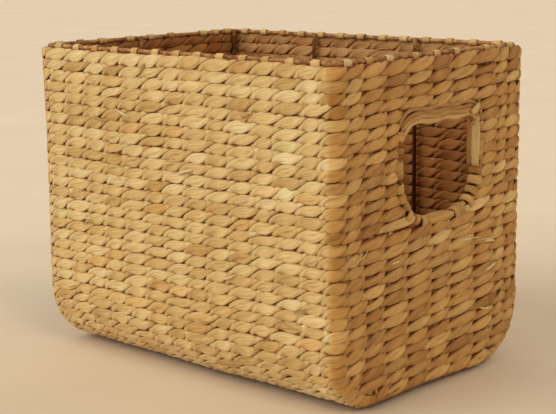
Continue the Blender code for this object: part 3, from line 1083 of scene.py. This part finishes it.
def build_hand_holes(material):
    """Straw over each hole's edge: rows folded back round it, and smooth strips over its top."""
    over_band = (LINTEL_SPAN[0] - TOP_BEND / 2, LINTEL_SPAN[1] + TOP_BEND / 2)
    all_round = (-TOP_BEND / 2, HOLE_EDGE + TOP_BEND / 2)
    for end, side in (("a", 1.0), ("b", -1.0)):
        straw = StrawMesh()
        add_wraps(straw, side)
        for span in (LINTEL_SPAN, SILL_SPAN):
            add_edging(straw, side, span, LINING_REACH, 0.0, LINING_STRIP, facing=1.0)
        add_edging(straw, side, over_band, BAND_HEIGHT, 0.0, BAND_SHADE, painted_shade=1.0)
        add_edging(straw, side, all_round, EDGE_SHADE_REACH, 0.0, EDGE_SHADE, painted_shade=1.0)
        for out in (FACE_OUT, -FACE_OUT):
            add_face_strips(straw, side, out)
        add_jamb_strips(straw, side)
        add_knot(straw, side)
        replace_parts(straw.build(f"straw_hand_binding_{end}", material), f"hand_binding_{end}")


# Thin loose strips that lie across the walls here and there, inside and out.
SLIVER_COUNT = 80
SLIVER_OUTSIDE_SHARE = 0.75
SLIVER_LONG_WALL_SHARE = 0.65
SLIVER_HOLE_MARGIN = 0.01
SLIVER_EDGE_MARGIN = 0.015
SLIVER_LENGTH = (0.009, 0.024)
SLIVER_TILT = (0.12, 0.25)
SLIVER_BEND = 0.001
SLIVER_PROUD = 0.0006
SLIVER_TUCK = 0.0022
SLIVER_HALF_WIDTH = (0.0005, 0.0016)
SLIVER_HALF_THICKNESS = 0.0004
SLIVER_END_WIDTH = 0.02
SLIVER_TONES = (0.85, 0.7, 0.15)
SLIVER_HUE = 0.4
SLIVER_STEPS = 9


def add_sliver(straw):
    """One loose strip, on either face of any wall. On an end wall it stays below the hand hole."""
    z = random.uniform(TROUGH_RADIUS, TOP_ROW_Z)
    side = 1 if random.random() < SLIVER_OUTSIDE_SHARE else -1
    long_wall = random.random() < SLIVER_LONG_WALL_SHARE
    if not long_wall and HOLE_Z - z - HOLE_HALF_HEIGHT < SLIVER_HOLE_MARGIN:
        return
    span = HALF_LENGTH if long_wall else HALF_WIDTH
    middle = random.uniform(-1, 1) * (span - EDGE_RADIUS - SLIVER_EDGE_MARGIN)
    length = random.uniform(*SLIVER_LENGTH)
    tilt = random.normal(*SLIVER_TILT)
    share = np.linspace(-1, 1, SLIVER_STEPS)
    run = middle + length * share / 2 * math.cos(tilt)
    bend = SLIVER_BEND * share ** 2 * random.normal()
    height = z + length * share / 2 * math.sin(tilt) + bend
    out = side * (MIDDLE + SLIVER_PROUD - SLIVER_TUCK * share ** 4)
    wall = -1.0 if random.random() < 0.5 else 1.0
    if long_wall:
        route = np.stack([run, wall * (HALF_B + out), height], axis=1)
    else:
        route = np.stack([wall * (HALF_A + out), run, height], axis=1)
    taper = np.sqrt(np.clip(1 - share ** 2, SLIVER_END_WIDTH, 1))
    half_width = random.uniform(*SLIVER_HALF_WIDTH) * taper
    half_thickness = SLIVER_HALF_THICKNESS * taper
    tone = random.choice(SLIVER_TONES)
    add_ribbon(straw, route, (0, 0, 1), half_width, half_thickness, tone, SLIVER_HUE)


def build_slivers(material):
    """All the loose strips, as one piece."""
    straw = StrawMesh()
    for _ in range(SLIVER_COUNT):
        add_sliver(straw)
    straw.build("straw_slivers", material)


def principled(name):
    """A new node material and its parts."""
    made = bpy.data.materials.new(name)
    made.use_nodes = True
    tree = made.node_tree
    return made, tree, tree.nodes["Principled BSDF"]


def attribute_node(tree, name):
    """A mesh's attribute, as a vector."""
    node = tree.nodes.new("ShaderNodeAttribute")
    node.attribute_name = name
    return node.outputs["Vector"]


def parts_of(tree, vector):
    """The three parts of a vector."""
    node = tree.nodes.new("ShaderNodeSeparateXYZ")
    tree.links.new(vector, node.inputs[0])
    return node.outputs


def fill(node, values):
    """Sets some of a node's inputs, given by name."""
    for name, value in values.items():
        node.inputs[name].default_value = value


def set_input(tree, socket, value):
    """Fills in a socket with a number or a colour, or links another socket to it."""
    if isinstance(value, (int, float)):
        socket.default_value = value
    elif isinstance(value, tuple):
        socket.default_value = (*value, 1.0)
    else:
        tree.links.new(value, socket)


def math_node(tree, operation, *values):
    """Sums and products of sockets and numbers."""
    node = tree.nodes.new("ShaderNodeMath")
    node.operation = operation
    for socket, value in zip(node.inputs, values):
        set_input(tree, socket, value)
    return node.outputs[0]


def noise_node(tree, vector, scale, detail, roughness=0.5):
    """Noise over a vector socket."""
    node = tree.nodes.new("ShaderNodeTexNoise")
    fill(node, {"Scale": scale, "Detail": detail, "Roughness": roughness})
    tree.links.new(vector, node.inputs["Vector"])
    return node.outputs["Fac"]


def ramp_node(tree, factor, stops):
    """Colours along a ramp, given as (place, colour)."""
    node = tree.nodes.new("ShaderNodeValToRGB")
    ramp = node.color_ramp
    while len(ramp.elements) < len(stops):
        ramp.elements.new(0.5)
    for element, (place, colour) in zip(ramp.elements, stops):
        element.position = place
        element.color = (*colour, 1.0)
    tree.links.new(factor, node.inputs["Fac"])
    return node.outputs["Color"]


def mix_colours(tree, mode, factor, first, second):
    """Two colours mixed by a factor, each a socket or a value."""
    node = tree.nodes.new("ShaderNodeMix")
    node.data_type = "RGBA"
    node.blend_type = mode
    colours = [socket for socket in node.inputs if socket.type == "RGBA"]
    for socket, value in zip((node.inputs["Factor"], *colours), (factor, first, second)):
        set_input(tree, socket, value)
    return next(socket for socket in node.outputs if socket.type == "RGBA")


def add_bump(tree, shader, height, strength, distance):
    """Fine relief on the surface."""
    bump = tree.nodes.new("ShaderNodeBump")
    fill(bump, {"Strength": strength, "Distance": distance})
    tree.links.new(height, bump.inputs["Height"])
    tree.links.new(bump.outputs["Normal"], shader.inputs["Normal"])


# The straw's colours: by tone, from dark to pale strips, and tinted by hue, from greenish through
# neutral to reddish brown. Streaks run along the fibres, and crevices are painted with a shade colour.
STRAW_TONES = (
    (0.0, (0.37, 0.20, 0.060)),
    (0.30, (0.55, 0.365, 0.140)),
    (0.62, (0.70, 0.52, 0.245)),
    (1.0, (0.82, 0.68, 0.41)),
)
STRAW_TINTS = (
    (0.0, (0.90, 0.96, 0.82)),
    (0.14, (1.0, 1.0, 1.0)),
    (0.48, (1.0, 0.98, 0.94)),
    (0.72, (1.0, 0.89, 0.74)),
    (1.0, (0.92, 0.72, 0.50)),
)
STREAKS = (
    (0.32, (0.60, 0.50, 0.36)),
    (0.46, (0.95, 0.94, 0.90)),
    (0.68, (1.16, 1.18, 1.22)),
)
STREAK_STRENGTH = 0.75
CREVICE_SHADE_COLOUR = (0.55, 0.245, 0.050)
SHADE_POWER = 1.6
# How fine each pattern is: along the strip, round it, and from strip to strip.
FIBRES = (30.0, 30.0, 300.0)
FINE_FIBRES = (120.0, 130.0, 300.0)
PATCHES = (70.0, 4.0, 500.0)
PATCH_STRENGTH = 0.55
FINE_SHARE = 0.35


def straw_material(name):
    """Dried leaf strip: long fibre streaks, tones that change from strip to strip, painted shade in
    crevices.
    """
    made, tree, shader = principled(name)
    strand = attribute_node(tree, "strand")
    tone, hue, painted_shade = parts_of(tree, attribute_node(tree, "look"))

    def stretched(scale):
        mapping = tree.nodes.new("ShaderNodeMapping")
        mapping.inputs["Scale"].default_value = scale
        tree.links.new(strand, mapping.inputs["Vector"])
        return mapping.outputs["Vector"]

    fibres = noise_node(tree, stretched(FIBRES), 1.0, 3.0, 0.6)
    fine = noise_node(tree, stretched(FINE_FIBRES), 1.0, 2.0)
    patches = noise_node(tree, stretched(PATCHES), 1.0, 2.0)

    blotted = math_node(tree, "MULTIPLY_ADD", patches, PATCH_STRENGTH, -PATCH_STRENGTH / 2)
    base = ramp_node(tree, math_node(tree, "ADD", tone, blotted), STRAW_TONES)
    tinted = mix_colours(tree, "MULTIPLY", 1.0, base, ramp_node(tree, hue, STRAW_TINTS))
    streaks = ramp_node(tree, fibres, STREAKS)
    streaked = mix_colours(tree, "MULTIPLY", STREAK_STRENGTH, tinted, streaks)
    # Painted shade: the straw mixed towards a dark brown by its shade value.
    shade_amount = math_node(tree, "POWER", painted_shade, SHADE_POWER)
    shaded = mix_colours(tree, "MULTIPLY", 1.0, streaked, CREVICE_SHADE_COLOUR)
    colour = mix_colours(tree, "MIX", shade_amount, streaked, shaded)
    tree.links.new(colour, shader.inputs["Base Color"])

    roughness = math_node(tree, "MULTIPLY_ADD", fibres, 0.35, 0.42)
    tree.links.new(roughness, shader.inputs["Roughness"])
    fill(shader, {"Specular IOR Level": 0.35, "Sheen Weight": 0.08, "Sheen Roughness": 0.5})
    relief = math_node(tree, "MULTIPLY_ADD", fine, FINE_SHARE, fibres)
    add_bump(tree, shader, relief, strength=0.55, distance=0.0006)
    return made


# Paint colours, from dark to light, and painted shade that makes the wire darker further below the rim.
PAINT_AND_SHADE = (
    (0.20, (0.060, 0.019, 0.005)),
    (0.36, (0.16, 0.060, 0.016)),
    (0.50, (0.40, 0.190, 0.062)),
    (0.64, (0.56, 0.320, 0.130)),
)
WIRE_SHADE_BELOW_RIM = 9.0        # for each metre below the rim, as far as the ramp goes


def wire_material():
    """Brown paint on iron wire, rubbed thin in places and rough where it has rusted, with painted shade
    further below the rim.
    """
    made, tree, shader = principled("brown_wire")
    place = tree.nodes.new("ShaderNodeTexCoord").outputs["Object"]
    height = parts_of(tree, place)["Z"]
    blots = noise_node(tree, place, 160.0, 4.0, 0.6)
    # Painted shade: the wire darker the further it lies below the rim.
    shade_below_rim = math_node(tree, "MULTIPLY_ADD", height, WIRE_SHADE_BELOW_RIM, -WIRE_SHADE_BELOW_RIM * RIM_Z)
    # Blots of worn paint and the painted shade, together.
    patches = math_node(tree, "ADD", blots, shade_below_rim)
    patches.node.use_clamp = True
    tree.links.new(ramp_node(tree, patches, PAINT_AND_SHADE), shader.inputs["Base Color"])
    roughness = math_node(tree, "MULTIPLY_ADD", patches, 0.5, 0.35)
    tree.links.new(roughness, shader.inputs["Roughness"])
    fill(shader, {"Specular IOR Level": 0.25})
    add_bump(tree, shader, noise_node(tree, place, 1400.0, 2.0), strength=0.3, distance=0.0002)
    return made


def paint_wires(material):
    """The wires keep their own shape and get the better paint."""
    for name in names_like("frame_"):
        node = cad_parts[name]
        for slot in node.material_slots:
            slot.material = material


# The camera: a long lens, ahead of the basket and to its right, that looks down on it a little.
VIEW_AZIMUTH = math.radians(42.77)
VIEW_ELEVATION = math.radians(10.97)
VIEW_ROLL = math.radians(-0.65)
CAMERA_PLACE = Vector((2.9274, -3.1646, 1.3037)) * STAKE_TOP
LENS_MM = 88.75
SENSOR_MM = 36.0


def make_camera():
    """The scene's camera, turned by its azimuth, elevation and roll."""
    back = Vector((
        math.sin(VIEW_AZIMUTH) * math.cos(VIEW_ELEVATION),
        -math.cos(VIEW_AZIMUTH) * math.cos(VIEW_ELEVATION),
        math.sin(VIEW_ELEVATION),
    ))
    right = (-back).cross(Vector((0, 0, 1))).normalized()
    up = right.cross(-back)
    turned_right = math.cos(VIEW_ROLL) * right + math.sin(VIEW_ROLL) * up
    turned_up = -math.sin(VIEW_ROLL) * right + math.cos(VIEW_ROLL) * up
    data = bpy.data.cameras.new("camera")
    data.lens = LENS_MM
    data.sensor_width = SENSOR_MM
    camera = add_object("camera", data)
    turn = Matrix((turned_right, turned_up, back)).transposed()
    camera.matrix_world = Matrix.Translation(CAMERA_PLACE) @ turn.to_4x4()
    bpy.context.scene.camera = camera


FLOOR_HALF_SIZE = 20.0
# Floor colours from front to back: the darker front ones are painted shade.
FLOOR_TONES_AND_SHADE = (
    (0.22, (0.74, 0.63, 0.49)),
    (0.45, (0.83, 0.72, 0.58)),
    (0.80, (0.91, 0.80, 0.66)),
)


def floor_material():
    """A pale matt floor with painted shade, darker towards the front and the right, that turns lighter
    behind the basket, as a wall would.
    """
    made, tree, shader = principled("floor")
    place = tree.nodes.new("ShaderNodeTexCoord").outputs["Object"]
    x, y, _ = parts_of(tree, place)
    towards_back = math_node(tree, "MULTIPLY", y, math.cos(VIEW_AZIMUTH))
    towards_left = math_node(tree, "MULTIPLY", x, -math.sin(VIEW_AZIMUTH))
    # Painted shade: the floor darker towards the front and the right, lighter behind and to the left.
    behind = math_node(tree, "ADD", towards_back, towards_left)
    blotches = noise_node(tree, place, 5.0, 3.0, 0.55)
    ragged = math_node(tree, "MULTIPLY_ADD", blotches, 0.10, behind)
    reach = math_node(tree, "MULTIPLY_ADD", ragged, 0.5, 0.4)
    colour = ramp_node(tree, reach, FLOOR_TONES_AND_SHADE)
    mottled = mix_colours(tree, "MULTIPLY", 0.12, colour, blotches)
    tree.links.new(mottled, shader.inputs["Base Color"])
    fill(shader, {"Roughness": 0.8, "Specular IOR Level": 0.2})
    return made


def make_floor():
    """A wide plain floor."""
    low, high = -FLOOR_HALF_SIZE, FLOOR_HALF_SIZE
    mesh = bpy.data.meshes.new("floor")
    corners = [(low, low, 0), (high, low, 0), (high, high, 0), (low, high, 0)]
    mesh.from_pydata(corners, [], [(0, 1, 2, 3)])
    mesh.materials.append(floor_material())
    floor = add_object("floor", mesh)


# Name, place, softness in degrees, strength and colour of each light, and the room's own light.
SUNS = (
    ("key", (-1.2, -2.5, 1.6), 50, 1.38, (1.0, 0.95, 0.84)),
    ("side", (2.4, -0.8, 2.3), 25, 0.60, (1.0, 0.82, 0.58)),
)
ROOM_COLOUR = (1.0, 0.90, 0.75, 1.0)
ROOM_STRENGTH = 0.57


def make_lights():
    """A broad warm key from the front left, a softer one from the right, and a pale room."""
    for name, place, softness, strength, colour in SUNS:
        data = bpy.data.lights.new(name, "SUN")
        data.angle = math.radians(softness)
        data.energy = strength
        data.color = colour
        light = add_object(name, data)
        light.location = place
        light.rotation_euler = (-Vector(place)).to_track_quat("-Z", "Y").to_euler()
    world = bpy.data.worlds.new("room")
    world.use_nodes = True
    fill(world.node_tree.nodes["Background"], {"Color": ROOM_COLOUR, "Strength": ROOM_STRENGTH})
    bpy.context.scene.world = world


make_camera()
make_floor()
make_lights()
bpy.context.scene.view_settings.view_transform = "Standard"

straw_finish = straw_material("straw")
build_weft(straw_finish)
build_stakes(straw_material("stake_straw"))
build_hand_holes(straw_finish)
build_slivers(straw_finish)
paint_wires(wire_material())
